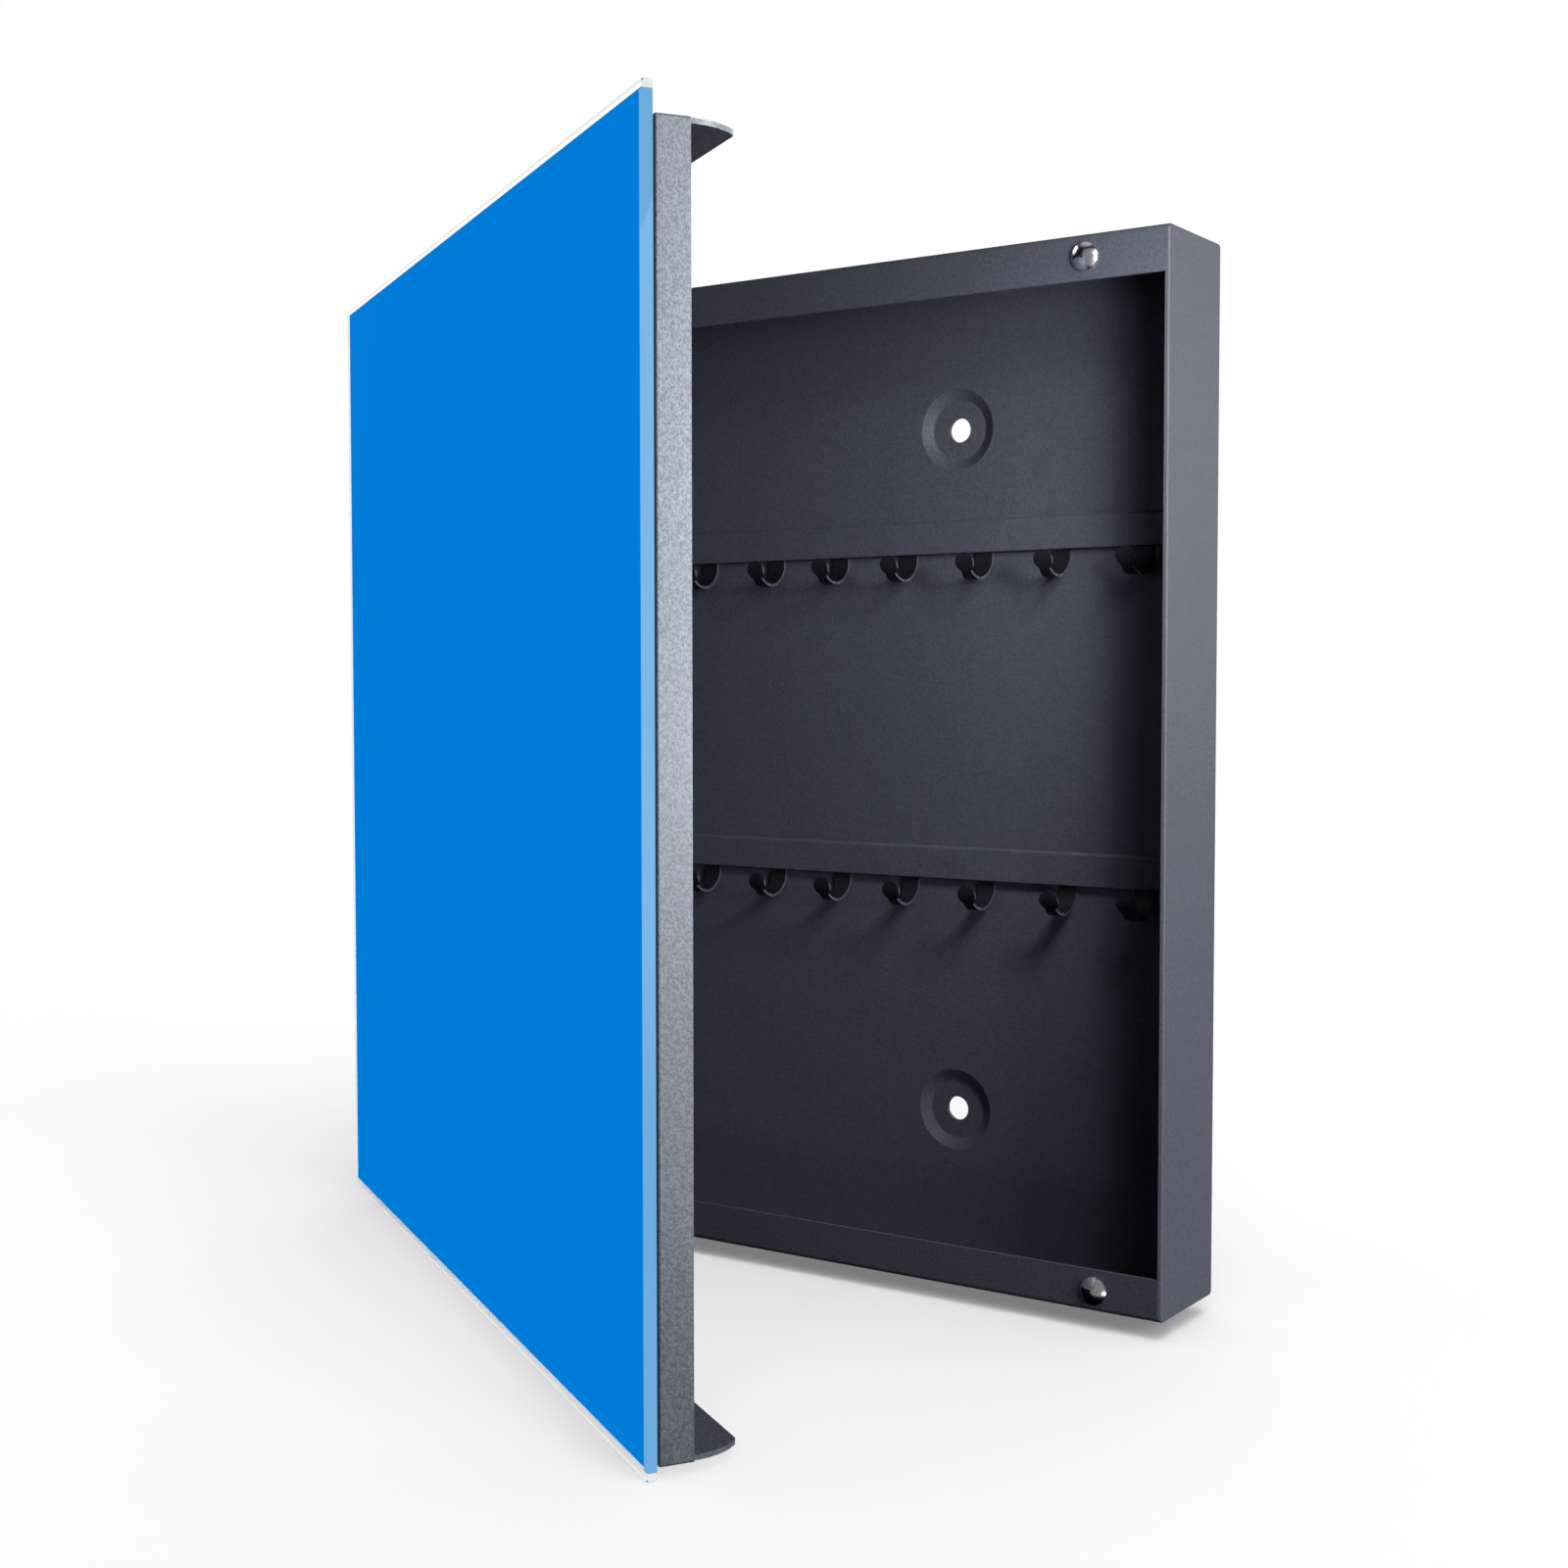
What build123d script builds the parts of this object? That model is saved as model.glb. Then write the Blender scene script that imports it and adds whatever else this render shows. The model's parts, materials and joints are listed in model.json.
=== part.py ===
from build123d import *
import os

# Wall-hung key cabinet: a shallow sheet-steel box with two rows of J hooks and
# a glass door on a steel pan that turns on two pivots near its left edge.
#
# Frame: origin at the centre of the wall-screw pattern, on the wall plane.
# +X to the right of someone facing the cabinet, +Y into the wall, +Z up.
# All sizes are in millimetres. The door is drawn shut, then opened to REST_OPEN.

# ---------------------------------------------------------------- dimensions
SHEET = 1.2                 # steel sheet of box, rails and door pan

# box
BOX_W = 286.5
BOX_H = 286.5
BOX_D = 33.3                # front plane to back face
DIMPLE_H = 1.8              # the screw dimples stand this far off the back
FLANGE_TOP = 12.1           # front flange heights
FLANGE_BOT = 11.3
BEND_FRONT = 1.3            # outer bend radii
BEND_REAR = 1.3
CORNER_R = 0.4              # rounded arris round each welded side panel
BOX_RISE = 0.85             # cabinet's middle above the middle of the screw pattern

# wall screws
SCREW_DX = 125.0
SCREW_DZ = 200.0
SCREW_HOLE_R = 3.5
DIMPLE_R1 = 11.9            # mouth of the dimple
DIMPLE_R2 = 8.7             # where the wall meets the floor
DIMPLE_DISH = 1.2           # sweep from wall to floor
DIMPLE_LIP = 0.5            # rounding of the dimple's mouth

# hook rails and hooks
RAIL_H = 9.6
RAIL_UPPER_Z = 63.1         # lower edge of each rail
RAIL_LOWER_Z = -32.3
RAIL_LEN = BOX_W - 2 * SHEET
HOOK_PITCH = 24.5
HOOK_COUNT = 11
# the hooks are spot-welded by hand and sit a little off their pitch
UPPER_SHIFT = (-1.6, -1.2, -1.8, -1.3, -2.0, -0.9, -1.9, -2.3, -1.5, -1.0, -0.4)
LOWER_SHIFT = (-0.6, -1.1, -0.5, -1.0, -1.2, -0.4, -1.1, -1.4, -0.4, 1.4, 0.6)
HOOK_T = 0.8                # hook sheet
HOOK_STEM_W = 5.5
HOOK_NECK_W = 3.1
HOOK_DISC_R = 2.85          # round tip
HOOK_R = 6.4                # outer radius of the U
HOOK_DROP = 8.1             # lowest point under the rail
HOOK_TIP_DROP = 0.55        # top of the tip under the rail's lower edge
HOOK_TAB_UP = 7.0           # welded tab behind the rail

# door
PAN_W = 290.0
PAN_H = 290.0
PAN_GAP = 2.0               # box front to pan plate, door shut
PAN_SIDE_D = 8.25           # return on the free side, from the plate's front
PAN_FLAP_D = 20.95          # hinge flaps at top and bottom, from the plate's front
PAN_BEND = 0.6
PAN_BEND_IN = 0.1
FLAP_R = 16.6               # sweep of the flaps' free ends
FLAP_STEP = 1.2             # relief between the flaps and the side return
FLAP_TIP_R = 2.5            # rounded tip of the sweep
FLAP_HINGE_R = 9.6          # rounded flap corners on the hinge side
TAPE_T = 0.25
TAPE_W = 18.0
TAPE_EASE = 0.01            # tape stands this clear of its neighbours
COLOUR_T = 0.10
COLOUR_EASE = 0.02          # air left between the colour layer and the glass
GLASS_T = 2.4
GLASS_W = 300.0
GLASS_H = 300.0
GLASS_ARRIS = 0.35          # polished arris
GLASS_LIP = 0.4             # glass past the pan on the free side
GLASS_RISE = 2.0            # glass centre above the pan centre
COLOUR_INSET = 2.3          # clear border below the colour and on the free side
COLOUR_INSET_TOP = 1.4      # clear border above the colour and on the hinge side

# hinge
PIN_X = -137.1
PIN_Y = -23.45
PIN_R = 2.0
PIN_CLEAR = 0.05
PIN_HEAD_R = 4.2
PIN_HEAD_T = 1.1
PIN_PEEN_R = 3.2
PIN_PEEN_T = 0.9
BUSH_R = 3.1
BUSH_FLANGE_R = 4.6
BUSH_FLANGE_T = 0.5
WASHER_R = 5.0
WASHER_T = 0.5
REST_OPEN = 32.2            # door angle in the stored pose

# catch magnets
MAG_R = 3.8
MAG_H = 1.9
MAG_STEM_R = 1.6
MAG_UPPER = (119.2, 137.2)
MAG_LOWER = (123.65, -137.5)
NUT_R = 4.0
NUT_T = 1.0

# ------------------------------------------------------------ derived places
HX = BOX_W / 2
HZ = BOX_H / 2
Y_BACK = -DIMPLE_H
Y_FRONT = Y_BACK - BOX_D
Y_INNER = Y_BACK - SHEET
PAN_HX = PAN_W / 2
PAN_HZ = PAN_H / 2
PAN_Y1 = Y_FRONT - PAN_GAP          # inner face of the plate
PAN_Y0 = PAN_Y1 - SHEET             # front face of the plate
GLASS_X1 = PAN_HX + GLASS_LIP
GLASS_X0 = GLASS_X1 - GLASS_W
COLOUR_Y1 = PAN_Y0 - TAPE_T
GLASS_Y1 = COLOUR_Y1 - COLOUR_T
GLASS_Y0 = GLASS_Y1 - GLASS_T


def block(x0, x1, y0, y1, z0, z1):
    return Pos((x0 + x1) / 2, (y0 + y1) / 2, (z0 + z1) / 2) * Box(x1 - x0, y1 - y0, z1 - z0)


def edges_along_x(shape, y, z, tol=0.01):
    return [e for e in shape.edges().filter_by(Axis.X)
            if abs(e.center().Y - y) < tol and abs(e.center().Z - z) < tol]


def cyl_y(x, y0, y1, z, r0, r1=None):
    """Cylinder or cone along +Y from y0 (radius r0) to y1 (radius r1)."""
    r1 = r0 if r1 is None else r1
    h = y1 - y0
    body = Cylinder(r0, h) if abs(r1 - r0) < 1e-9 else Cone(r0, r1, h)
    return Pos(x, (y0 + y1) / 2, z) * Rot(-90, 0, 0) * body


def box_outline(x0, x1):
    """Solid slab with the box's side profile."""
    s = block(x0, x1, Y_FRONT, Y_BACK, -HZ, HZ)
    s = fillet(edges_along_x(s, Y_BACK, HZ) + edges_along_x(s, Y_BACK, -HZ), BEND_REAR)
    s = fillet(edges_along_x(s, Y_FRONT, HZ) + edges_along_x(s, Y_FRONT, -HZ), BEND_FRONT)
    return s


# --------------------------------------------------------------------- box
def make_wrap():
    inx = HX - SHEET
    s = box_outline(-inx, inx)
    core = block(-inx - 1, inx + 1, Y_FRONT + SHEET, Y_INNER, -HZ + SHEET, HZ - SHEET)
    core = fillet(edges_along_x(core, Y_INNER, HZ - SHEET) + edges_along_x(core, Y_INNER, -HZ + SHEET),
                  BEND_REAR - SHEET)
    core = fillet(edges_along_x(core, Y_FRONT + SHEET, HZ - SHEET)
                  + edges_along_x(core, Y_FRONT + SHEET, -HZ + SHEET), BEND_FRONT - SHEET)
    s -= core
    # door opening between the two front flanges
    s -= block(-inx - 1, inx + 1, Y_FRONT - 1, Y_FRONT + SHEET + 1, -HZ + FLANGE_BOT, HZ - FLANGE_TOP)
    # pressed dimples that stand the back off the wall
    for sx in (-1, 1):
        for sz in (-1, 1):
            x, z = sx * SCREW_DX / 2, sz * SCREW_DZ / 2 - BOX_RISE
            s += cyl_y(x, Y_BACK - 0.3, 0.0, z, DIMPLE_R1 + 1.0, DIMPLE_R2 + 0.8)
            well = cyl_y(x, Y_INNER, -SHEET, z, DIMPLE_R1, DIMPLE_R2)
            foot = [e for e in well.edges().filter_by(GeomType.CIRCLE) if abs(e.center().Y + SHEET) < 0.01]
            s -= fillet(foot, DIMPLE_DISH)
            s -= cyl_y(x, Y_INNER - 1, 1.0, z, SCREW_HOLE_R)
            mouth = [e for e in s.edges().filter_by(GeomType.CIRCLE)
                     if abs(e.center().Y - Y_INNER) < 0.05 and abs(e.radius - DIMPLE_R1) < 0.1
                     and abs(e.arc_center.X - x) < 0.1 and abs(e.arc_center.Z - z) < 0.1]
            s = fillet(mouth, DIMPLE_LIP)
    # holes for the magnet stems
    for x, z in (MAG_UPPER, MAG_LOWER):
        s -= cyl_y(x, Y_FRONT - 1, Y_FRONT + SHEET + 1, z, MAG_STEM_R)
    # hinge pin holes
    for sz in (-1, 1):
        s -= Pos(PIN_X, PIN_Y, sz * (HZ - SHEET / 2)) * Cylinder(PIN_R, SHEET + 1)
    return s


def make_side(sign):
    a, b = sorted((sign * (HX - SHEET), sign * HX))
    s = box_outline(a, b)
    rim = [e for e in s.edges() if abs(e.center().X - sign * HX) < 0.01]
    return fillet(rim, CORNER_R)


def make_rail(z_low):
    # front strip, with a top lip that reaches back to the cabinet's back
    y1 = Y_INNER - HOOK_T
    s = block(-RAIL_LEN / 2, RAIL_LEN / 2, y1 - SHEET, y1, z_low, z_low + RAIL_H)
    s += block(-RAIL_LEN / 2, RAIL_LEN / 2, y1 - 0.2, Y_INNER, z_low + RAIL_H - SHEET, z_low + RAIL_H)
    s = fillet(edges_along_x(s, y1 - SHEET, z_low + RAIL_H), 0.9)
    s = fillet(edges_along_x(s, y1 - SHEET, z_low), 0.25)
    return s


def make_hook(x, z_edge):
    """J hook: tab and stem against the back, U towards the room, round tip."""
    t = HOOK_T
    y_b = Y_INNER                          # rear face of the stem
    yc = y_b - HOOK_R                      # centre of the U
    zc = z_edge - HOOK_DROP + HOOK_R
    z_tip = z_edge - HOOK_TIP_DROP
    z_top = z_edge + HOOK_TAB_UP
    # side profile: half ring, stem and short front limb
    ring = cyl_x(x, yc, zc, HOOK_R) - cyl_x(x, yc, zc, HOOK_R - t)
    ring -= block(x - 20, x + 20, yc - 20, yc + 20, zc, zc + 20)
    prof = ring + block(x - 10, x + 10, y_b - t, y_b, zc - 0.01, z_top)
    prof += block(x - 10, x + 10, yc - HOOK_R, yc - HOOK_R + t, zc - 0.01, z_tip)
    # width of the strip, seen from the front
    hw, hn = HOOK_STEM_W / 2, HOOK_NECK_W / 2
    z_low = z_edge - HOOK_DROP
    zd = z_tip - HOOK_DISC_R
    rear = outline([(-hw, z_top), (hw, z_top), (hw, zc - 1.0), (hn + 0.5, z_low - 0.1),
                      (-hn - 0.5, z_low - 0.1), (-hw, zc - 1.0)])
    neck = outline([(-hn, zd), (hn, zd), (hn + 0.1, z_low + 1.6), (hn + 0.5, z_low - 0.1),
                      (-hn - 0.5, z_low - 0.1), (-hn - 0.1, z_low + 1.6)])
    rear_body = extrude_y(rear, x, yc, y_b + 0.5)
    front_body = extrude_y(neck, x, yc - HOOK_R - 0.5, yc + 0.01)
    front_body += cyl_y(x, yc - HOOK_R - 0.5, yc, zd, HOOK_DISC_R)
    s = prof & (rear_body + front_body)
    return s


def cyl_x(x, y, z, r):
    return Pos(x, y, z) * Rot(0, 90, 0) * Cylinder(r, 16)


def outline(pts):
    """Closed polygon in the XZ plane, drawn in plane coordinates (x, z)."""
    return Polyline(*pts, close=True)


def extrude_y(wire, x, y0, y1):
    """Extrude an (x, z) outline from y0 to y1, centred on x."""
    pl = Plane(origin=(x, y0, 0), x_dir=(1, 0, 0), z_dir=(0, -1, 0))
    face = pl * Face(Wire(wire.edges()))
    return extrude(face, amount=y1 - y0, dir=(0, 1, 0))


def make_magnet(x, z):
    """Low domed catch magnet on the flange with a stem through it."""
    rim = 0.55
    rise = MAG_H - rim
    ball_r = (MAG_R ** 2 + rise ** 2) / (2 * rise)
    dome = Pos(0, 0, MAG_H - ball_r) * Sphere(ball_r)
    cap = Pos(0, 0, MAG_H / 2) * Cylinder(MAG_R, MAG_H) & dome
    cap = Pos(x, Y_FRONT, z) * Rot(90, 0, 0) * cap
    return cap + cyl_y(x, Y_FRONT - 0.3, Y_FRONT + SHEET + NUT_T + 0.8, z, MAG_STEM_R)


def make_nut(x, z):
    y0 = Y_FRONT + SHEET
    s = cyl_y(x, y0, y0 + NUT_T, z, NUT_R, NUT_R - 0.8) - cyl_y(x, y0 - 1, y0 + NUT_T + 1, z, MAG_STEM_R)
    return s


# -------------------------------------------------------------------- hinge
def make_pin(sz):
    """Rivet: round head outside the flap, shank, peened end inside the box."""
    z_in = HZ - SHEET
    z_out = PAN_HZ + BUSH_FLANGE_T + 0.1
    s = Pos(0, 0, (z_in - PIN_PEEN_T + z_out + 0.2) / 2) * Cylinder(PIN_R, z_out + 0.2 - z_in + PIN_PEEN_T)
    s += Pos(0, 0, z_in - PIN_PEEN_T / 2) * Cylinder(PIN_PEEN_R, PIN_PEEN_T)
    head = Pos(0, 0, z_out + PIN_HEAD_T / 2) * Cylinder(PIN_HEAD_R, PIN_HEAD_T)
    head = fillet(head.edges().sort_by(Axis.Z)[-1:], 0.8)
    s += head
    return place_z(s, sz)


def make_bush(sz):
    z0 = PAN_HZ - SHEET
    s = Pos(0, 0, z0 + SHEET / 2) * Cylinder(BUSH_R, SHEET)
    s += Pos(0, 0, PAN_HZ + BUSH_FLANGE_T / 2) * Cylinder(BUSH_FLANGE_R, BUSH_FLANGE_T)
    s -= Pos(0, 0, PAN_HZ) * Cylinder(PIN_R + PIN_CLEAR, 10)
    return place_z(s, sz)


def make_washer(sz):
    s = Pos(0, 0, HZ + WASHER_T / 2) * Cylinder(WASHER_R, WASHER_T)
    s -= Pos(0, 0, HZ) * Cylinder(PIN_R + PIN_CLEAR, 10)
    return place_z(s, sz)


def place_z(s, sz):
    """Upper hinge as drawn, lower hinge turned upside down."""
    if sz < 0:
        s = Rot(180, 0, 0) * s
    return Pos(PIN_X, PIN_Y, 0) * s


# --------------------------------------------------------------------- door
def make_pan():
    z0, z1 = -PAN_HZ, PAN_HZ
    y_flap = PAN_Y0 + PAN_FLAP_D
    s = block(-PAN_HX, PAN_HX, PAN_Y0, y_flap, z0, z1)
    s = fillet(edges_along_x(s, PAN_Y0, z1) + edges_along_x(s, PAN_Y0, z0), PAN_BEND)
    fr = [e for e in s.edges() if abs(e.center().X - PAN_HX) < 0.01 and abs(e.center().Y - PAN_Y0) < 0.01
          and abs(e.center().Z) < 1]
    s = fillet(fr, PAN_BEND)
    inner = block(-PAN_HX - 5, PAN_HX - SHEET, PAN_Y1, y_flap + 5, z0 + SHEET, z1 - SHEET)
    inner = fillet(edges_along_x(inner, PAN_Y1, z1 - SHEET) + edges_along_x(inner, PAN_Y1, z0 + SHEET),
                   PAN_BEND_IN)
    fi = [e for e in inner.edges() if abs(e.center().X - PAN_HX + SHEET) < 0.01
          and abs(e.center().Y - PAN_Y1) < 0.01 and abs(e.center().Z) < 1]
    inner = fillet(fi, PAN_BEND_IN)
    s -= inner
    # free side: short return only, the flaps run on
    s -= block(PAN_HX - 10, PAN_HX + 1, PAN_Y0 + PAN_SIDE_D, y_flap + 5, z0 + SHEET, z1 - SHEET)
    # swept free ends of the flaps, from the side return to a rounded tip
    y_ret = PAN_Y0 + PAN_SIDE_D
    xa = PAN_HX - FLAP_STEP - FLAP_R
    sweep = block(xa, PAN_HX + 1, y_ret, y_flap + 1, z0 - 1, z1 + 1)
    sweep -= Pos(xa, y_ret, 0) * Cylinder(FLAP_R, PAN_H + 10)
    s -= sweep
    x_tip = xa + (FLAP_R ** 2 - (y_flap - y_ret) ** 2) ** 0.5
    tips = [e for e in s.edges().filter_by(Axis.Z)
            if abs(e.center().X - x_tip) < 0.05 and abs(e.center().Y - y_flap) < 0.05]
    s = fillet(tips, FLAP_TIP_R)
    # rounded flap corners on the hinge side
    cx, cy = -(PAN_HX - FLAP_HINGE_R), y_flap - FLAP_HINGE_R
    corner = block(-(PAN_HX + 1), cx, cy, y_flap + 1, z0 - 1, z1 + 1)
    corner -= Pos(cx, cy, 0) * Cylinder(FLAP_HINGE_R, PAN_H + 10)
    s -= corner
    # bush holes
    for sz in (-1, 1):
        s -= Pos(PIN_X, PIN_Y, sz * (PAN_HZ - SHEET / 2)) * Cylinder(BUSH_R, SHEET + 1)
    return s


def make_glass():
    s = block(GLASS_X0, GLASS_X1, GLASS_Y0, GLASS_Y1, GLASS_RISE - GLASS_H / 2, GLASS_RISE + GLASS_H / 2)
    s = fillet(s.edges().filter_by(Axis.Y), 1.2)
    ring = [e for e in s.edges() if abs(e.center().Y - GLASS_Y0) < 0.01 or abs(e.center().Y - GLASS_Y1) < 0.01]
    return chamfer(ring, GLASS_ARRIS)


def make_colour():
    i = COLOUR_INSET
    k = COLOUR_INSET_TOP
    return block(GLASS_X0 + k, GLASS_X1 - i, GLASS_Y1 + COLOUR_EASE, COLOUR_Y1,
                 GLASS_RISE - GLASS_H / 2 + i, GLASS_RISE + GLASS_H / 2 - k)


def make_tape(side):
    """One strip of mounting tape between the pan and the glass."""
    m = 4.0
    x0, x1, z0, z1 = -PAN_HX + m, PAN_HX - m, -PAN_HZ + m, PAN_HZ - m
    y0, y1 = COLOUR_Y1 + TAPE_EASE, PAN_Y0 - TAPE_EASE
    if side == "top":
        return block(x0, x1, y0, y1, z1 - TAPE_W, z1)
    if side == "bottom":
        return block(x0, x1, y0, y1, z0, z0 + TAPE_W)
    if side == "left":
        return block(x0, x0 + TAPE_W, y0, y1, z0 + TAPE_W + 6, z1 - TAPE_W - 6)
    return block(x1 - TAPE_W, x1, y0, y1, z0 + TAPE_W + 6, z1 - TAPE_W - 6)


def opened(s, deg=REST_OPEN):
    """Turn a door piece about the pin axis; opening swings the free edge to -Y."""
    return Pos(PIN_X, PIN_Y, 0) * Rot(0, 0, -deg) * Pos(-PIN_X, -PIN_Y, 0) * s


# ------------------------------------------------------------------- output
def build():
    nodes = {}
    nodes["cabinet_wrap"] = make_wrap()
    nodes["left_side_panel"] = make_side(-1)
    nodes["right_side_panel"] = make_side(1)
    for name, z, shift in (("upper", RAIL_UPPER_Z, UPPER_SHIFT), ("lower", RAIL_LOWER_Z, LOWER_SHIFT)):
        nodes[name + "_hook_rail"] = make_rail(z)
        for i in range(HOOK_COUNT):
            x = (i - (HOOK_COUNT - 1) / 2) * HOOK_PITCH + shift[i]
            nodes["key_hook_%s_%02d" % (name, i + 1)] = make_hook(x, z)
    for name, (x, z) in (("upper", MAG_UPPER), ("lower", MAG_LOWER)):
        nodes[name + "_catch_magnet"] = make_magnet(x, z)
        nodes[name + "_magnet_nut"] = make_nut(x, z)
    for name, sz in (("upper", 1), ("lower", -1)):
        nodes[name + "_hinge_pin"] = make_pin(sz)
        nodes[name + "_hinge_washer"] = make_washer(sz)
        nodes[name + "_hinge_bush"] = opened(make_bush(sz))
    nodes["door_pan"] = opened(make_pan())
    nodes["glass_panel"] = opened(make_glass())
    nodes["colour_layer"] = opened(make_colour())
    for side in ("top", "bottom", "left", "right"):
        nodes[side + "_tape_strip"] = opened(make_tape(side))
    # from the cabinet's own middle to the middle of the screw pattern
    return {n: Pos(0, 0, BOX_RISE) * s for n, s in nodes.items()}


os.makedirs("parts", exist_ok=True)
for node_name, shape in build().items():
    export_step(shape, "parts/" + node_name + ".step")
    print("%-24s volume %10.1f mm3" % (node_name, shape.volume))
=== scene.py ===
import bpy, json, math
from mathutils import Matrix, Vector


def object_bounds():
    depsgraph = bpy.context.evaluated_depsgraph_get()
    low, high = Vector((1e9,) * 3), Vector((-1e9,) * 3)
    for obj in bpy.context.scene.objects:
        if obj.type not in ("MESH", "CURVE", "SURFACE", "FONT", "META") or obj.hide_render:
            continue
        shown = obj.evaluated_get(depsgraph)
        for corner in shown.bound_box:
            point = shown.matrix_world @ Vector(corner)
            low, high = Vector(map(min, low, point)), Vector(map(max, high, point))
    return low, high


# Key cabinet with an open glass door. Everything is in metres, in the row frame.
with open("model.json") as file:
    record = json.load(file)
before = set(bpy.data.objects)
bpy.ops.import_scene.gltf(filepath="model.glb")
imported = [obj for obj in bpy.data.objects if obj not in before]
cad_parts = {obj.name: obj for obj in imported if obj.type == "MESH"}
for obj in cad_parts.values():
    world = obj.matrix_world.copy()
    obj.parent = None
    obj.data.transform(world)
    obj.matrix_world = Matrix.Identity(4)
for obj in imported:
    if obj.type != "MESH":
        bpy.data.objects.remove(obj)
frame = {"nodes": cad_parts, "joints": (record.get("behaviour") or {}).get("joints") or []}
nodes = frame["nodes"]
cad_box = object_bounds()
scene = bpy.context.scene

hinge = frame["joints"][0]
PIN = Vector(hinge["pos_m"])
OPEN = math.radians(-hinge["range_deg"][0])

scene.view_settings.view_transform = "Standard"
scene.view_settings.look = "None"
scene.view_settings.exposure = 0.0
scene.view_settings.gamma = 1.0

# ------------------------------------------------------------------- camera
YAW, PITCH, ROLL = math.radians(34.383), math.radians(2.634), math.radians(-0.030)
FOCAL_PX, IMAGE_PX = 2134.1, 1600.0
CAM_AT = Vector((0.36791, -0.53889, 0.02478))


def make_camera():
    d = Vector((-math.sin(YAW) * math.cos(PITCH), math.cos(YAW) * math.cos(PITCH), -math.sin(PITCH)))
    r = Vector((math.cos(YAW), math.sin(YAW), 0.0))
    u = r.cross(d)
    r2 = r * math.cos(ROLL) + u * math.sin(ROLL)
    u2 = -r * math.sin(ROLL) + u * math.cos(ROLL)
    data = bpy.data.cameras.new("camera")
    data.sensor_width = 36.0
    data.lens = FOCAL_PX * 36.0 / IMAGE_PX
    data.clip_start, data.clip_end = 0.01, 100.0
    cam = bpy.data.objects.new("camera", data)
    m = Matrix.Identity(4)
    for i, axis in enumerate((r2, u2, -d)):
        for k in range(3):
            m[k][i] = axis[k]
    m.translation = CAM_AT
    cam.matrix_world = m
    scene.collection.objects.link(cam)
    scene.camera = cam


make_camera()


# ------------------------------------------------------------ node shorthand
class Tree:
    """Small helper that adds nodes and joins them."""

    def __init__(self, tree):
        self.t = tree
        tree.nodes.clear()

    def add(self, kind, inputs=None, **props):
        n = self.t.nodes.new(kind)
        for k, v in props.items():
            setattr(n, k, v)
        for k, v in (inputs or {}).items():
            self.put(n.inputs[k], v)
        return n

    def put(self, socket, v):
        if isinstance(v, bpy.types.NodeSocket):
            self.t.links.new(v, socket)
        else:
            if hasattr(socket.default_value, "__len__") and not hasattr(v, "__len__"):
                v = [v] * len(socket.default_value)
            if hasattr(v, "__len__") and hasattr(socket.default_value, "__len__"):
                n = len(socket.default_value)
                v = list(v) + [1.0] * (n - len(v))
            socket.default_value = v

    def math(self, op, a, b=None, c=None, clamp=False):
        n = self.add("ShaderNodeMath", operation=op, use_clamp=clamp)
        for i, v in enumerate((a, b, c)):
            if v is not None:
                self.put(n.inputs[i], v)
        return n.outputs[0]

    def step(self, v, lo, hi, out_lo=0.0, out_hi=1.0):
        """Smooth step of v from lo to hi."""
        n = self.add("ShaderNodeMapRange", {"Value": v, "From Min": lo, "From Max": hi,
                                            "To Min": out_lo, "To Max": out_hi},
                     interpolation_type="SMOOTHSTEP")
        return n.outputs["Result"]

    def noise(self, at, scale, detail=2.0, rough=0.5):
        return self.add("ShaderNodeTexNoise", {"Vector": at, "Scale": scale, "Detail": detail,
                                               "Roughness": rough}).outputs["Fac"]

    def mix(self, fac, a, b):
        n = self.add("ShaderNodeMix", data_type="RGBA")
        self.put(n.inputs["Factor"], fac)
        self.put(n.inputs["A"] if False else n.inputs[6], a)
        self.put(n.inputs[7], b)
        return n.outputs[2]

    def scale_colour(self, colour, value):
        n = self.add("ShaderNodeVectorMath", operation="SCALE")
        self.put(n.inputs[0], colour)
        self.put(n.inputs["Scale"], value)
        return n.outputs[0]

    def xyz(self, v):
        return self.add("ShaderNodeSeparateXYZ", {"Vector": v}).outputs

    def place(self):
        return self.add("ShaderNodeTexCoord").outputs["Object"]

    def door_place(self):
        """Position in the door's own frame, as if the door were shut."""
        n = self.add("ShaderNodeVectorRotate", {"Vector": self.place(), "Center": (PIN.x, PIN.y, 0.0),
                                                "Angle": OPEN}, rotation_type="Z_AXIS")
        return n.outputs[0]

    def out(self, shader):
        self.add("ShaderNodeOutputMaterial", {"Surface": shader})


def material(name):
    m = bpy.data.materials.new(name)
    m.use_nodes = True
    return m, Tree(m.node_tree)


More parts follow.
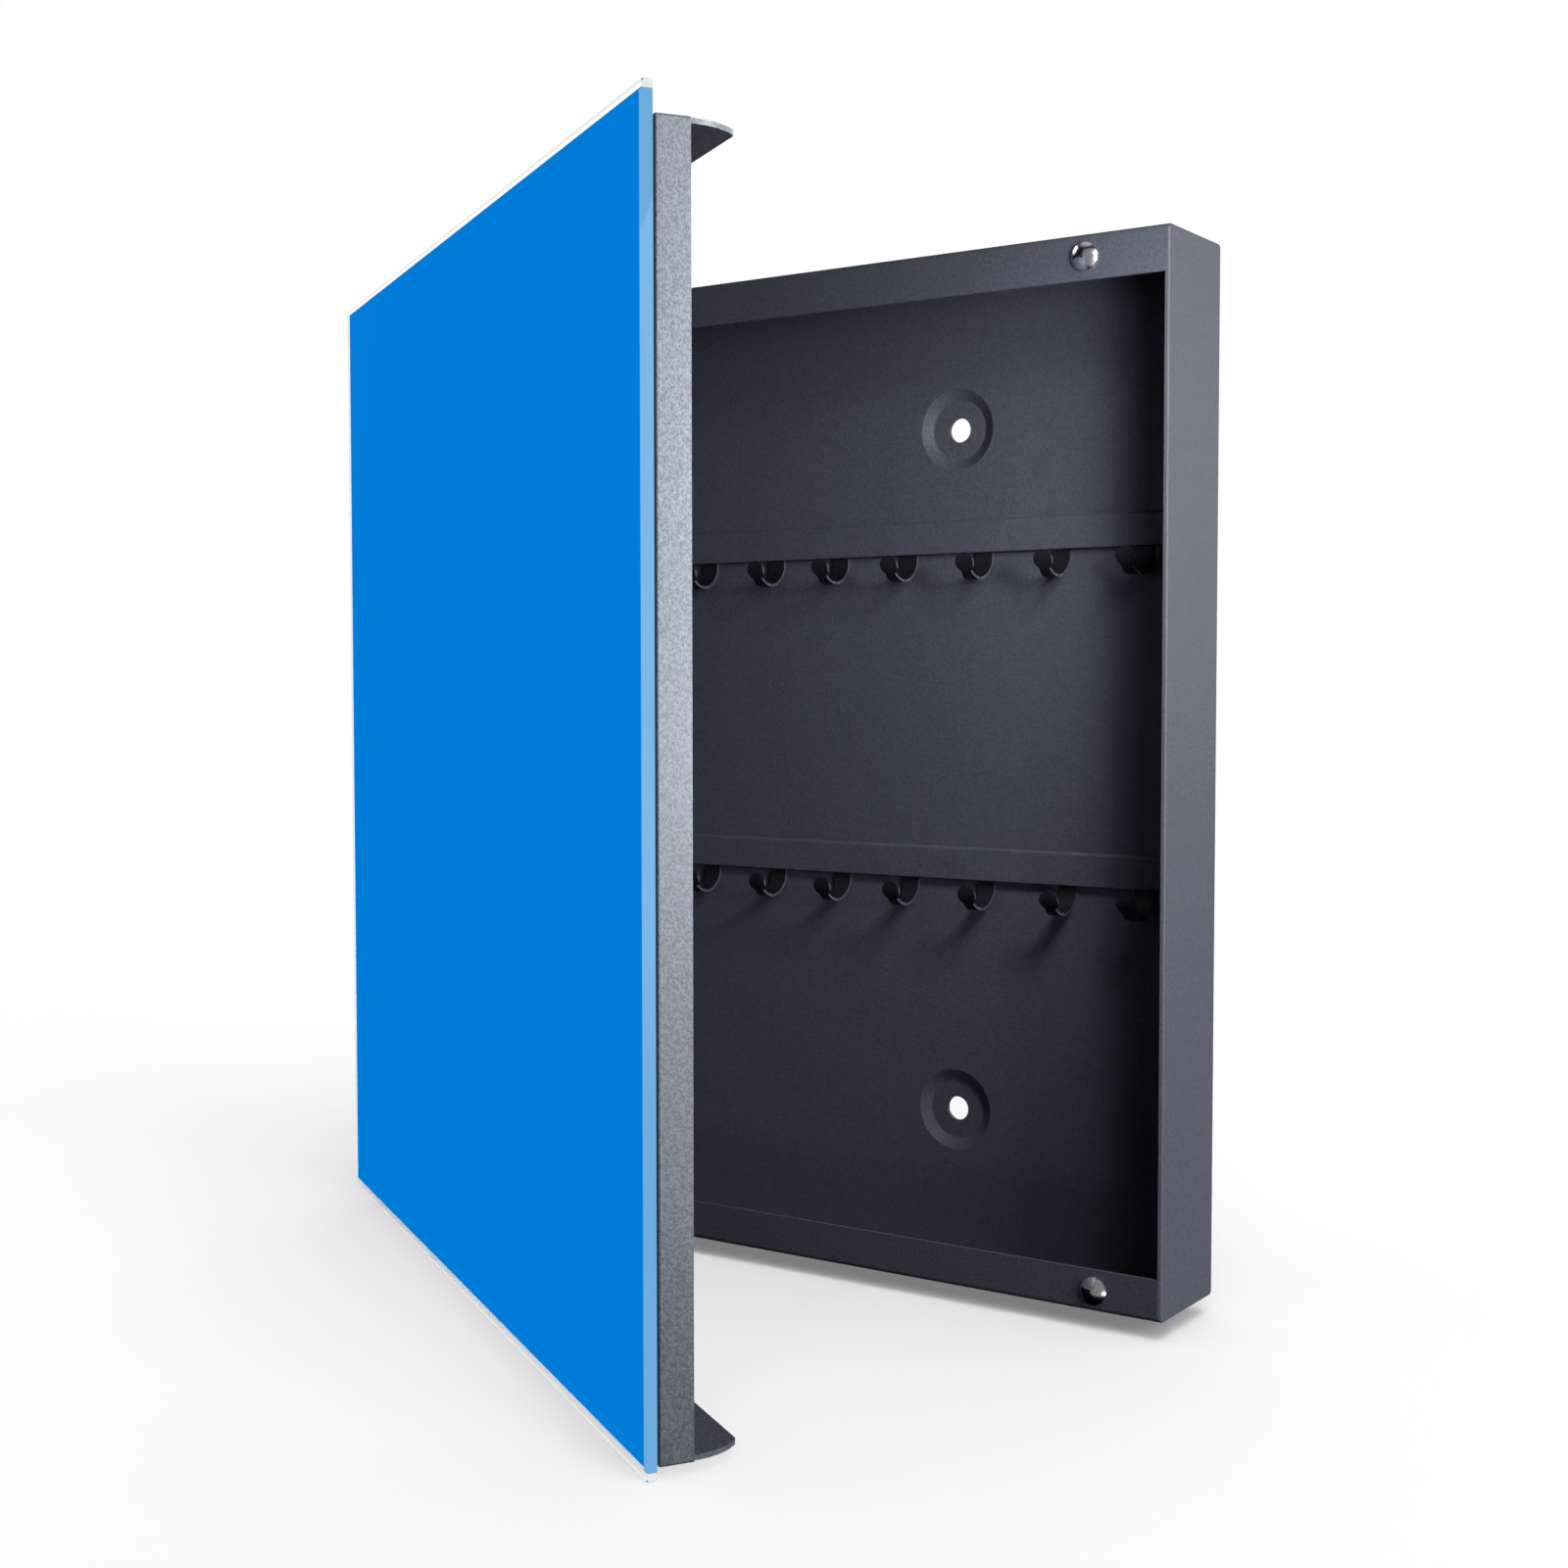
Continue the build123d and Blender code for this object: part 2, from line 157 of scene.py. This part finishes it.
# ---------------------------------------------------------------- materials
def powder_coat(name, colour, rough=0.46, peel=0.5, peel_mm=1.1, grain_mm=0.45, mottle=0.12, fleck=0.16, up_down_shade_factor=1.0):
    """Fine-textured powder coat: orange peel, a mottle and flecks. The last argument scales the colour and the
    sheen of faces that look straight up or down: painted shade, darkening the flaps where little light reaches."""
    m, t = material(name)
    p = t.place()
    broad = t.noise(p, 12.0, 2.0)
    peel_n = t.noise(p, 1.0 / (peel_mm * 1e-3), 2.0, 0.5)
    grain = t.noise(p, 1.0 / (grain_mm * 1e-3), 1.0, 0.6)
    level = t.math("ADD", t.math("MULTIPLY", broad, 0.10), t.math("MULTIPLY", t.step(peel_n, 0.32, 0.68), mottle))
    level = t.math("ADD", level, t.math("MULTIPLY", t.step(grain, 0.30, 0.70), fleck))
    level = t.math("ADD", level, 1.0 - 0.05 - mottle / 2 - fleck / 2)
    _, _, nz = t.xyz(t.add("ShaderNodeNewGeometry").outputs["True Normal"])
    # painted shade: faces looking straight up or down get a darker colour and less sheen
    up_down_painted_shade = t.step(t.math("ABSOLUTE", nz), 0.85, 0.98, 1.0, up_down_shade_factor)
    base = t.scale_colour(colour, t.math("MULTIPLY", level, up_down_painted_shade))
    rough_v = t.math("ADD", rough - 0.05, t.math("MULTIPLY", grain, 0.10))
    b1 = t.add("ShaderNodeBump", {"Strength": peel, "Distance": 0.00010, "Height": peel_n})
    b2 = t.add("ShaderNodeBump", {"Strength": peel, "Distance": 0.00004, "Height": grain, "Normal": b1.outputs[0]})
    s = t.add("ShaderNodeBsdfPrincipled", {"Base Color": base, "Roughness": rough_v, "Normal": b2.outputs[0],
                                           "IOR": 1.5, "Specular IOR Level": t.math("MULTIPLY", up_down_painted_shade, 0.5)})
    t.out(s.outputs[0])
    return m


def hook_black(name):
    """Black enamel, with a greyer tone painted on the edge faces of the strip as a highlight where they catch the
    light.
    """
    m, t = material(name)
    p = t.place()
    grain = t.noise(p, 2000.0, 2.0, 0.6)
    broad = t.noise(p, 180.0, 2.0)
    level = t.math("ADD", t.math("MULTIPLY", grain, 0.4), t.math("MULTIPLY", broad, 0.3))
    level = t.math("ADD", level, 0.65)
    nx, _, _ = t.xyz(t.add("ShaderNodeNewGeometry").outputs["True Normal"])
    # painted highlight: the strip's edge faces, facing along x, get a lighter grey
    painted_edge_highlight = t.step(t.math("ABSOLUTE", nx), 0.90, 0.99)
    base = t.mix(painted_edge_highlight, (0.0070, 0.0078, 0.0095), (0.060, 0.064, 0.075))
    bump = t.add("ShaderNodeBump", {"Strength": 0.35, "Distance": 0.00004, "Height": grain})
    s = t.add("ShaderNodeBsdfPrincipled", {"Base Color": t.scale_colour(base, level),
                                           "Roughness": t.math("ADD", 0.40, t.math("MULTIPLY", grain, 0.14)),
                                           "Normal": bump.outputs[0], "Specular IOR Level": 0.25})
    t.out(s.outputs[0])
    return m


def bright_plate(name):
    """Nickel-bright plating on the catch magnets."""
    m, t = material(name)
    p = t.place()
    n1 = t.noise(p, 700.0, 3.0)
    n2 = t.noise(p, 5200.0, 2.0)
    base = t.scale_colour((0.80, 0.80, 0.82), t.math("ADD", 0.93, t.math("MULTIPLY", n1, 0.12)))
    rough = t.math("ADD", 0.16, t.math("MULTIPLY", n1, 0.06))
    bump = t.add("ShaderNodeBump", {"Strength": 0.12, "Distance": 0.00002, "Height": n2})
    s = t.add("ShaderNodeBsdfPrincipled", {"Base Color": base, "Metallic": 1.0, "Roughness": rough,
                                           "Normal": bump.outputs[0]})
    t.out(s.outputs[0])
    return m


def zinc(name):
    """Zinc-plated steel with a faint spangle and a fine grain."""
    m, t = material(name)
    p = t.place()
    cells = t.add("ShaderNodeTexVoronoi", {"Vector": p, "Scale": 900.0}, feature="F1").outputs["Distance"]
    n = t.noise(p, 2400.0, 2.0)
    base = t.scale_colour((0.55, 0.56, 0.58), t.math("ADD", 0.85, t.math("MULTIPLY", cells, 0.25)))
    bump = t.add("ShaderNodeBump", {"Strength": 0.2, "Distance": 0.00003, "Height": n})
    s = t.add("ShaderNodeBsdfPrincipled", {"Base Color": base, "Metallic": 1.0,
                                           "Roughness": t.math("ADD", 0.28, t.math("MULTIPLY", n, 0.15)),
                                           "Normal": bump.outputs[0]})
    t.out(s.outputs[0])
    return m


def nylon(name):
    m, t = material(name)
    p = t.place()
    n = t.noise(p, 1500.0, 2.0)
    base = t.scale_colour((0.022, 0.022, 0.024), t.math("ADD", 0.85, t.math("MULTIPLY", n, 0.3)))
    bump = t.add("ShaderNodeBump", {"Strength": 0.2, "Distance": 0.00003, "Height": n})
    s = t.add("ShaderNodeBsdfPrincipled", {"Base Color": base, "Roughness": t.math("ADD", 0.42, t.math("MULTIPLY", n, 0.1)),
                                           "Normal": bump.outputs[0], "Specular IOR Level": 0.4})
    t.out(s.outputs[0])
    return m


def foam_tape(name):
    m, t = material(name)
    p = t.place()
    cells = t.add("ShaderNodeTexVoronoi", {"Vector": p, "Scale": 2200.0}, feature="F1").outputs["Distance"]
    n = t.noise(p, 300.0, 3.0)
    level = t.math("ADD", 0.8, t.math("ADD", t.math("MULTIPLY", cells, 0.2), t.math("MULTIPLY", n, 0.15)))
    bump = t.add("ShaderNodeBump", {"Strength": 0.5, "Distance": 0.00006, "Height": cells})
    s = t.add("ShaderNodeBsdfPrincipled", {"Base Color": t.scale_colour((0.045, 0.045, 0.048), level), "Roughness": 0.85,
                                           "Normal": bump.outputs[0], "Specular IOR Level": 0.2})
    t.out(s.outputs[0])
    return m


# the glass in the door's own frame, from its packed corners
def shut_box(node):
    pts = []
    for v in nodes[node].data.vertices:
        x, y = v.co.x - PIN.x, v.co.y - PIN.y
        pts.append((PIN.x + x * math.cos(OPEN) - y * math.sin(OPEN), PIN.y + x * math.sin(OPEN) + y * math.cos(OPEN), v.co.z))
    return Vector([min(q[i] for q in pts) for i in range(3)]), Vector([max(q[i] for q in pts) for i in range(3)])


glass_lo, glass_hi = shut_box("glass_panel")


BLUE = (0.0, 0.2051, 0.7011)


def blue_enamel(name):
    """Colour fired on the back of the glass: an even, matt coat with a barely visible mottle, painted as a glow:
    its emission stands in for the light on it.
    """
    m, t = material(name)
    p = t.place()
    broad = t.noise(p, 9.0, 2.0)
    fine = t.noise(p, 900.0, 2.0)
    level = t.math("ADD", t.math("MULTIPLY", broad, 0.016), t.math("MULTIPLY", fine, 0.012))
    level = t.math("ADD", level, 1.0 - 0.014)
    bump = t.add("ShaderNodeBump", {"Strength": 0.05, "Distance": 0.00002, "Height": fine})
    # painted glow: the blue shows through its emission, with only a faint diffuse part lit by lamps
    s = t.add("ShaderNodeBsdfPrincipled", {"Base Color": t.scale_colour(BLUE, t.math("MULTIPLY", level, 0.06)),
                                           "Roughness": t.math("ADD", 0.75, t.math("MULTIPLY", broad, 0.1)),
                                           "Normal": bump.outputs[0], "Specular IOR Level": 0.0,
                                           "Emission Color": t.scale_colour(BLUE, level), "Emission Strength": 1.0})
    t.out(s.outputs[0])
    return m


def clear_glass(name):
    """Float glass: clear faces with a weak reflection, a ground arris all round painted as a grey-white glow, and
    on the free side an edge painted as a pale blue glow, standing in for the light led through it from the colour."""
    m, t = material(name)
    d = t.door_place()
    x, y, z = t.xyz(d)
    # free edge: painted pale blue glow, brighter in a slanted band at mid height
    free = t.step(x, glass_hi.x - 0.0024, glass_hi.x - 0.0021)
    inside = t.math("MULTIPLY", t.step(z, glass_hi.z - 0.0021, glass_hi.z - 0.0024),
                    t.step(z, glass_lo.z + 0.0021, glass_lo.z + 0.0024))
    free = t.math("MULTIPLY", free, inside)
    streak = t.noise(t.add("ShaderNodeCombineXYZ", {"X": t.math("MULTIPLY", x, 2600.0), "Y": t.math("MULTIPLY", y, 2600.0),
                                                    "Z": t.math("MULTIPLY", z, 9.0)}).outputs[0], 1.0, 2.0)
    # painted light: a slanted band at mid height of the free edge is brighter
    lean = t.math("SUBTRACT", z, t.math("MULTIPLY", t.math("SUBTRACT", y, glass_lo.y), 3.0))
    mid = t.math("MULTIPLY", t.step(lean, 0.1235, 0.1205), t.step(z, -0.075, -0.02))
    pale = t.mix(mid, (0.168, 0.434, 0.752), (0.216, 0.503, 0.847))
    pale = t.scale_colour(pale, t.math("ADD", 0.95, t.math("MULTIPLY", streak, 0.10)))
    glow = t.add("ShaderNodeEmission", {"Color": pale, "Strength": 0.95})
    body = t.add("ShaderNodeBsdfDiffuse", {"Color": t.scale_colour(pale, 0.05)})
    edge = t.add("ShaderNodeAddShader", {0: glow.outputs[0], 1: body.outputs[0]})
    # clear faces bend the view through them and add a weak reflection
    clear = t.add("ShaderNodeBsdfRefraction", {"Color": (0.985, 0.995, 0.99), "Roughness": 0.0, "IOR": 1.5})
    gloss = t.add("ShaderNodeBsdfGlossy", {"Roughness": 0.03})
    fres = t.add("ShaderNodeFresnel", {"IOR": 1.45})
    wave = t.noise(t.place(), 30.0, 2.0)
    k = t.math("MULTIPLY", fres.outputs[0], t.math("ADD", 0.45, t.math("MULTIPLY", wave, 0.1)))
    geo = t.add("ShaderNodeNewGeometry")
    k = t.math("MULTIPLY", k, t.math("SUBTRACT", 1.0, geo.outputs["Backfacing"]))
    t.put(gloss.inputs["Color"], t.scale_colour((1.0, 1.0, 1.0), k))
    shine = t.add("ShaderNodeAddShader", {0: clear.outputs[0], 1: gloss.outputs[0]})
    # ground edges and their arris: a painted grey-white glow, found by place, so the door's pose doesn't matter
    rim = t.step(x, glass_hi.x - 0.00038, glass_hi.x - 0.00032)
    for v, edge_at, way in ((x, glass_lo.x, 1), (z, glass_lo.z, 1), (z, glass_hi.z, -1)):
        rim = t.math("MAXIMUM", rim, t.step(v, edge_at + way * 0.00038, edge_at + way * 0.00032))
    fine = t.math("ADD", 0.94, t.math("MULTIPLY", t.noise(d, 1500.0, 2.0), 0.12))
    ground_lit = t.add("ShaderNodeEmission", {"Color": t.scale_colour(EDGE_GREY, fine), "Strength": 1.0})
    ground_body = t.add("ShaderNodeBsdfDiffuse", {"Color": t.scale_colour(EDGE_GREY, 0.05)})
    ground = t.add("ShaderNodeAddShader", {0: ground_lit.outputs[0], 1: ground_body.outputs[0]})
    faces = t.add("ShaderNodeMixShader", {0: rim, 1: shine.outputs[0], 2: ground.outputs[0]})
    all_ = t.add("ShaderNodeMixShader", {0: free, 1: faces.outputs[0], 2: edge.outputs[0]})
    t.out(all_.outputs[0])
    return m


# colour of the painted glow on the glass arris
EDGE_GREY = (0.80, 0.83, 0.82)
CABINET = powder_coat("cabinet_powder_coat", (0.0575, 0.0635, 0.0815), peel_mm=0.9, grain_mm=0.5, mottle=0.22, fleck=0.26)
# the door's up- and down-facing flap faces get painted shade, at 0.30 of the colour
DOOR = powder_coat("door_powder_coat", (0.108, 0.121, 0.144), rough=0.42, peel_mm=1.0, grain_mm=0.5, mottle=0.34, fleck=0.36, up_down_shade_factor=0.30)
HOOKS = hook_black("hook_black_enamel")
PLATE = bright_plate("bright_nickel")
ZINC = zinc("zinc_plate")
NYLON = nylon("black_nylon")
TAPE = foam_tape("foam_tape")
BLUE_COAT = blue_enamel("blue_enamel")
GLASS = clear_glass("clear_glass")


def finish_for(name):
    if name.startswith("key_hook"):
        return HOOKS
    if name.endswith("catch_magnet"):
        return PLATE
    if name.endswith(("magnet_nut", "hinge_pin", "hinge_washer")):
        return ZINC
    if name.endswith("hinge_bush"):
        return NYLON
    if name.endswith("tape_strip"):
        return TAPE
    if name == "colour_layer":
        return BLUE_COAT
    if name == "glass_panel":
        return GLASS
    if name == "door_pan":
        return DOOR
    return CABINET


for name, obj in nodes.items():
    obj.data.materials.clear()
    obj.data.materials.append(finish_for(name))
for name in ("door_pan", "colour_layer", "glass_panel"):
    nodes[name].visible_diffuse = False


# -------------------------------------------------------------------- stage
def make_floor():
    z = cad_box[0].z - 0.0002
    n, rings = 96, (0.0, 0.25, 0.6, 1.2, 2.0, 3.2, 5.0)
    verts, faces = [(0.0, 0.0, z)], []
    for r in rings[1:]:
        for i in range(n):
            a = 2 * math.pi * i / n
            verts.append((r * math.cos(a), r * math.sin(a), z))
    for i in range(n):
        faces.append((0, 1 + i, 1 + (i + 1) % n))
    for k in range(len(rings) - 2):
        a, b = 1 + k * n, 1 + (k + 1) * n
        for i in range(n):
            j = (i + 1) % n
            faces.append((a + i, b + i, b + j, a + j))
    me = bpy.data.meshes.new("floor")
    me.from_pydata(verts, [], faces)
    o = bpy.data.objects.new("floor", me)
    scene.collection.objects.link(o)
    m, t = material("studio_floor")
    p = t.place()
    x, y, _ = t.xyz(p)
    r = t.math("SQRT", t.math("ADD", t.math("MULTIPLY", x, x), t.math("MULTIPLY", y, y)))
    mott = t.noise(p, 6.0, 3.0)
    col = t.scale_colour((1.0, 1.0, 1.0), t.math("ADD", 0.985, t.math("MULTIPLY", mott, 0.02)))
    dif = t.add("ShaderNodeBsdfDiffuse", {"Color": t.scale_colour(col, FLOOR_DIFFUSE)})
    emi = t.add("ShaderNodeEmission", {"Color": col, "Strength": FLOOR_GLOW})
    both = t.add("ShaderNodeAddShader", {0: dif.outputs[0], 1: emi.outputs[0]})
    gone = t.add("ShaderNodeBsdfTransparent")
    far = t.step(r, 0.9, 2.2)
    t.out(t.add("ShaderNodeMixShader", {0: far, 1: both.outputs[0], 2: gone.outputs[0]}).outputs[0])
    me.materials.append(m)
    o.visible_diffuse = False
    o.visible_glossy = False
    o.visible_shadow = False
    return o


FLOOR_DIFFUSE, FLOOR_GLOW = 0.8, 0.188
floor = make_floor()


# ------------------------------------------------------------------- lights
def group(name, members):
    c = bpy.data.collections.new(name)
    for o in members:
        c.objects.link(o)
    return c


SEEN_THROUGH = ("glass_panel", "colour_layer")
METAL = group("lit_metal", [o for n, o in nodes.items() if n not in SEEN_THROUGH and n != "door_pan" and not n.endswith("catch_magnet")])
PAN = group("lit_pan", [nodes["door_pan"]])
JAMB = group("lit_jamb", [nodes["right_side_panel"]])
INNER = group("lit_inside", [o for n, o in nodes.items() if n.startswith(("cabinet_wrap", "left_side", "upper_hook", "lower_hook", "key_hook")) or n.endswith("catch_magnet")])
CATCHES = group("lit_catches", [o for n, o in nodes.items() if n.endswith("catch_magnet")])
GROUND = group("lit_floor", [floor])


def lamp(name, kind, at, toward, power, receivers, colour=(1, 1, 1)):
    d = bpy.data.lights.new(name, kind)
    d.energy = power
    d.color = colour
    o = bpy.data.objects.new(name, d)
    o.location = at
    o.rotation_mode = "QUATERNION"
    o.rotation_quaternion = (Vector(toward) - Vector(at)).to_track_quat("-Z", "Y")
    o.visible_camera = False
    o.light_linking.receiver_collection = receivers
    scene.collection.objects.link(o)
    return d


def area(name, at, toward, size, size_y, power, receivers=METAL):
    d = lamp(name, "AREA", at, toward, power, receivers, COOL)
    d.shape = "RECTANGLE"
    d.size, d.size_y = size, size_y


def sun(name, az, el, spread, power):
    """Even light on the floor only, for the soft shadows."""
    d = lamp(name, "SUN", around(az, el, 1.0, (0, 0, 0)), (0, 0, 0), power, GROUND)
    d.angle = math.radians(spread)


def around(az, el, r, c):
    """Point at azimuth az (0 in front, 90 on the right) and elevation el round c."""
    a, e = math.radians(az), math.radians(el)
    return (c[0] + r * math.cos(e) * math.sin(a), c[1] - r * math.cos(e) * math.cos(a), c[2] + r * math.sin(e))


COOL = (0.96, 0.98, 1.0)
FREE_EDGE = (0.10, -0.17, 0.03)
SIDE = (0.14, -0.02, 0.0)
MIDDLE = (0.04, 0.0, 0.0)
MOUTH = (0.1433, -0.0345, 0.0)
area("edge_high", (0.985, -0.338, 0.45), FREE_EDGE, 0.36, 0.20, 1.85)
area("edge_mid", (0.985, -0.338, 0.10), FREE_EDGE, 0.36, 0.20, 5.66)
area("side_front", (0.9, 0.02, 0.15), SIDE, 0.3, 0.3, 6.35)
area("side_rear", (0.6, 0.5, 0.15), SIDE, 0.3, 0.3, 0.81)
for az, r, z, size, power in ((41, 0.12, 0.19, 0.035, 0.122), (41, 0.35, -0.25, 0.07, 0.158), (41, 0.08, 0.12, 0.03, 0.108),
                              (50, 0.08, 0.15, 0.03, 0.028), (50, 0.08, 0.08, 0.03, 0.248)):
    area("inside", around(az, 0, r, (MOUTH[0], MOUTH[1], z)), MIDDLE, size, size, power, INNER)
for r, z, size, power in ((0.12, 0.10, 0.03, 1.295), (0.12, 0.19, 0.03, 0.216), (0.22, -0.12, 0.05, 0.061),
                          (0.22, 0.0, 0.05, 0.211), (0.22, 0.20, 0.05, 0.191)):
    area("strip", around(41, 0, r, (MOUTH[0], MOUTH[1], z)), (0.06, -0.01, 0.0), size, size, power, PAN)
area("strip_low", (0.985, -0.338, -0.10), FREE_EDGE, 0.36, 0.20, 1.953, PAN)
area("jamb", around(3.5, 20, 0.40, (0.1433, -0.0345, 0.05)), (0.1433, -0.0345, 0.0), 0.02, 0.10, 2.0, JAMB)
area("catch_front", around(20, 5, 1.2, SIDE), SIDE, 2.2, 2.2, 3.5, CATCHES)
area("catch_left", around(-93, 38, 1.0, SIDE), SIDE, 0.5, 0.3, 1.6, CATCHES)
sun("floor_front", 45, 45, 50, 1.275)
sun("floor_front_high", 45, 70, 40, 0.286)
sun("floor_left", -90, 45, 50, 0.080)
sun("floor_right", 80, 25, 30, 0.641)
sun("floor_right_high", 90, 70, 40, 0.246)
sun("floor_top", 0, 90, 60, 0.995)


def make_world():
    """White backdrop, and two soft lobes of light: above and behind."""
    w = bpy.data.worlds.new("studio")
    scene.world = w
    w.use_nodes = True
    t = Tree(w.node_tree)
    d = t.add("ShaderNodeTexCoord").outputs["Generated"]
    total = None
    for (az, el), lo, hi, level in LOBES:
        c = around(az, el, 1.0, (0, 0, 0))
        dot = t.add("ShaderNodeVectorMath", {0: d, 1: c}, operation="DOT_PRODUCT").outputs["Value"]
        v = t.step(dot, math.cos(math.radians(lo)), math.cos(math.radians(hi)), 0.0, level)
        total = v if total is None else t.math("ADD", total, v)
    lit = t.add("ShaderNodeBackground", {"Color": (0.97, 0.985, 1.0), "Strength": total})
    seen = t.add("ShaderNodeBackground", {"Color": (1, 1, 1), "Strength": 1.0})
    path = t.add("ShaderNodeLightPath")
    through = t.math("MAXIMUM", path.outputs["Is Camera Ray"], path.outputs["Is Transmission Ray"])
    mix = t.add("ShaderNodeMixShader", {0: through, 1: lit.outputs[0], 2: seen.outputs[0]})
    t.add("ShaderNodeOutputWorld", {"Surface": mix.outputs[0]})


# (azimuth, elevation), angle where a lobe ends, angle where it is full, level
LOBES = (
    ((-60, 80), 35, 10, 0.5),
    ((-155, 10), 45, 10, 1.2),
)
make_world()
